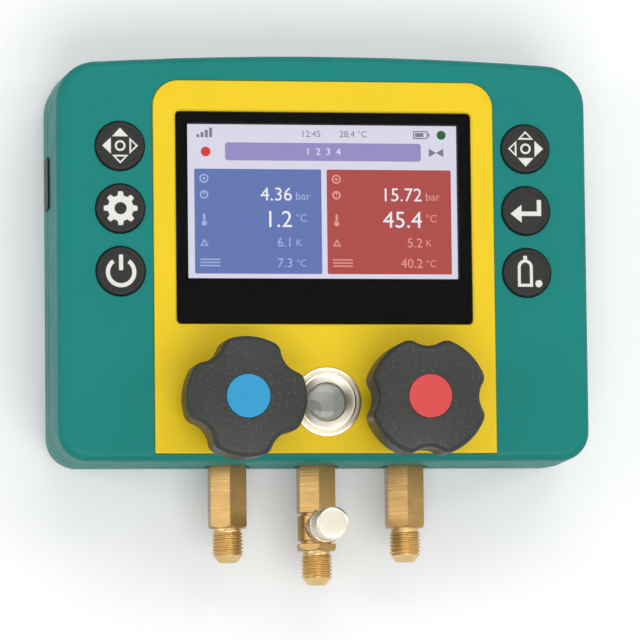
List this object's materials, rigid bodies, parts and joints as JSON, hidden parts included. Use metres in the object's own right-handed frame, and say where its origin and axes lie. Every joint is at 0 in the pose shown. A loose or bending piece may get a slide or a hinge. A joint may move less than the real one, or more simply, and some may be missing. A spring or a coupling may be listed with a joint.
{
  "type": "refrigerant manifold gauge",
  "caption": "Two-valve digital manifold gauge with a colour display, side keys, lobed handwheels, a sight glass, flare ports and a folding hanging hook.",
  "frame": {"origin": "middle of the overall outline, on the plane that the feet rest on", "axes": "+X to the right of the face, +Y towards the top edge and the hook, +Z out of the face"},
  "size_m": [0.1892, 0.1844, 0.078],
  "materials": {
    "housing": "fine satin grain",
    "frame": "satin",
    "window": "clear glass, black printed border",
    "mask": "matt",
    "screen": "lit colour panel",
    "board": "solder mask",
    "key": "soft satin, printed symbol",
    "switch": "matt",
    "fastener": "zinc plated",
    "black_rubber": "matt",
    "block": "machined",
    "brass": "turned",
    "stainless": "turned",
    "wheel": "fine grain",
    "blue_disc": "gloss",
    "red_disc": "gloss",
    "nickel": "polished nickel",
    "sight_lens": "clear",
    "socket": "satin",
    "holder": "matt",
    "cell": "dark sleeve, bare ends",
    "contact": "nickel plated",
    "hook": "stamped, plated"
  },
  "bodies": {
    "instrument": {"front_housing": "housing", "rear_housing": "housing", "housing_gasket": "black_rubber", "housing_screws": "fastener", "rubber_feet": "black_rubber", "front_frame": "frame", "display_mask": "mask", "display_window": "window", "lcd_module": "screen", "main_board": "board", "board_screws": "fastener", "key_switches": "switch", "manifold_block": "block", "gallery_plug": "brass", "block_screws": "fastener", "low_pressure_sensor": "stainless", "high_pressure_sensor": "stainless", "sight_glass_ring": "nickel", "sight_glass_lens": "sight_lens", "sight_glass_seal": "black_rubber", "low_port": "brass", "centre_port": "brass", "high_port": "brass", "access_core": "brass", "low_probe_socket": "socket", "high_probe_socket": "socket", "battery_holder": "holder", "batteries": "cell", "battery_contacts": "contact", "hook_pin": "stainless", "low_diaphragm": "stainless", "low_valve_bonnet": "brass", "low_stem_seal": "black_rubber", "high_diaphragm": "stainless", "high_valve_bonnet": "brass", "high_stem_seal": "black_rubber"},
    "low pressure piece": {"low_pressure_piece": "brass"},
    "low handwheel": {"low_handwheel": "wheel", "low_handwheel_screw": "fastener", "low_handwheel_disc": "blue_disc", "low_valve_stem": "stainless"},
    "high pressure piece": {"high_pressure_piece": "brass"},
    "high handwheel": {"high_handwheel": "wheel", "high_handwheel_screw": "fastener", "high_handwheel_disc": "red_disc", "high_valve_stem": "stainless"},
    "left arrows key": {"key_arrows_left": "key"},
    "settings key": {"key_settings": "key"},
    "power key": {"key_power": "key"},
    "right arrows key": {"key_arrows_right": "key"},
    "enter key": {"key_enter": "key"},
    "page key": {"key_page": "key"},
    "hanging hook": {"hanging_hook": "hook"},
    "battery door": {"battery_door": "housing"},
    "cap seal": {"access_cap_seal": "black_rubber"},
    "access cap": {"access_cap": "nickel"}
  },
  "joints": [
    {"name": "low valve lift", "type": "slide", "parent": "instrument", "child": "low pressure piece", "axis": [0, 0, 1], "range_m": [0, 0.00151]},
    {"name": "low handwheel turn", "type": "hinge", "parent": "low pressure piece", "child": "low handwheel", "pos_m": [-0.0315, -0.02975, 0.06], "axis": [0, 0, 1], "range_deg": [0, 540]},
    {"name": "high valve lift", "type": "slide", "parent": "instrument", "child": "high pressure piece", "axis": [0, 0, 1], "range_m": [0, 0.00151]},
    {"name": "high handwheel turn", "type": "hinge", "parent": "high pressure piece", "child": "high handwheel", "pos_m": [0.0315, -0.02975, 0.06], "axis": [0, 0, 1], "range_deg": [0, 540]},
    {"name": "left arrows key press", "type": "slide", "parent": "instrument", "child": "left arrows key", "axis": [0, 0, -1], "range_m": [0, 0.0008], "stiffness_N_per_m": 600, "springref_m": -0.002},
    {"name": "settings key press", "type": "slide", "parent": "instrument", "child": "settings key", "axis": [0, 0, -1], "range_m": [0, 0.0008], "stiffness_N_per_m": 600, "springref_m": -0.002},
    {"name": "power key press", "type": "slide", "parent": "instrument", "child": "power key", "axis": [0, 0, -1], "range_m": [0, 0.0008], "stiffness_N_per_m": 600, "springref_m": -0.002},
    {"name": "right arrows key press", "type": "slide", "parent": "instrument", "child": "right arrows key", "axis": [0, 0, -1], "range_m": [0, 0.0008], "stiffness_N_per_m": 600, "springref_m": -0.002},
    {"name": "enter key press", "type": "slide", "parent": "instrument", "child": "enter key", "axis": [0, 0, -1], "range_m": [0, 0.0008], "stiffness_N_per_m": 600, "springref_m": -0.002},
    {"name": "page key press", "type": "slide", "parent": "instrument", "child": "page key", "axis": [0, 0, -1], "range_m": [0, 0.0008], "stiffness_N_per_m": 600, "springref_m": -0.002},
    {"name": "hook fold", "type": "hinge", "parent": "instrument", "child": "hanging hook", "pos_m": [0, 0.08075, 0.0052], "axis": [1, 0, 0], "range_deg": [0, 180]},
    {"name": "battery door hinge", "type": "hinge", "parent": "instrument", "child": "battery door", "pos_m": [0, -0.0105, 0.0027], "axis": [-1, 0, 0], "range_deg": [0, 90]},
    {"name": "cap lift", "type": "slide", "parent": "instrument", "child": "cap seal", "axis": [0, 0, 1], "range_m": [0, 0.00954]},
    {"name": "cap turn", "type": "hinge", "parent": "cap seal", "child": "access cap", "pos_m": [0, -0.07235, 0.054], "axis": [0, 0, 1], "range_deg": [0, 4320]}
  ],
  "couplings": [
    {"joint": "low valve lift", "follows": "low handwheel turn", "m_per_rad": 0.00015915},
    {"joint": "high valve lift", "follows": "high handwheel turn", "m_per_rad": 0.00015915},
    {"joint": "cap lift", "follows": "cap turn", "m_per_rad": 0.00012637}
  ]
}
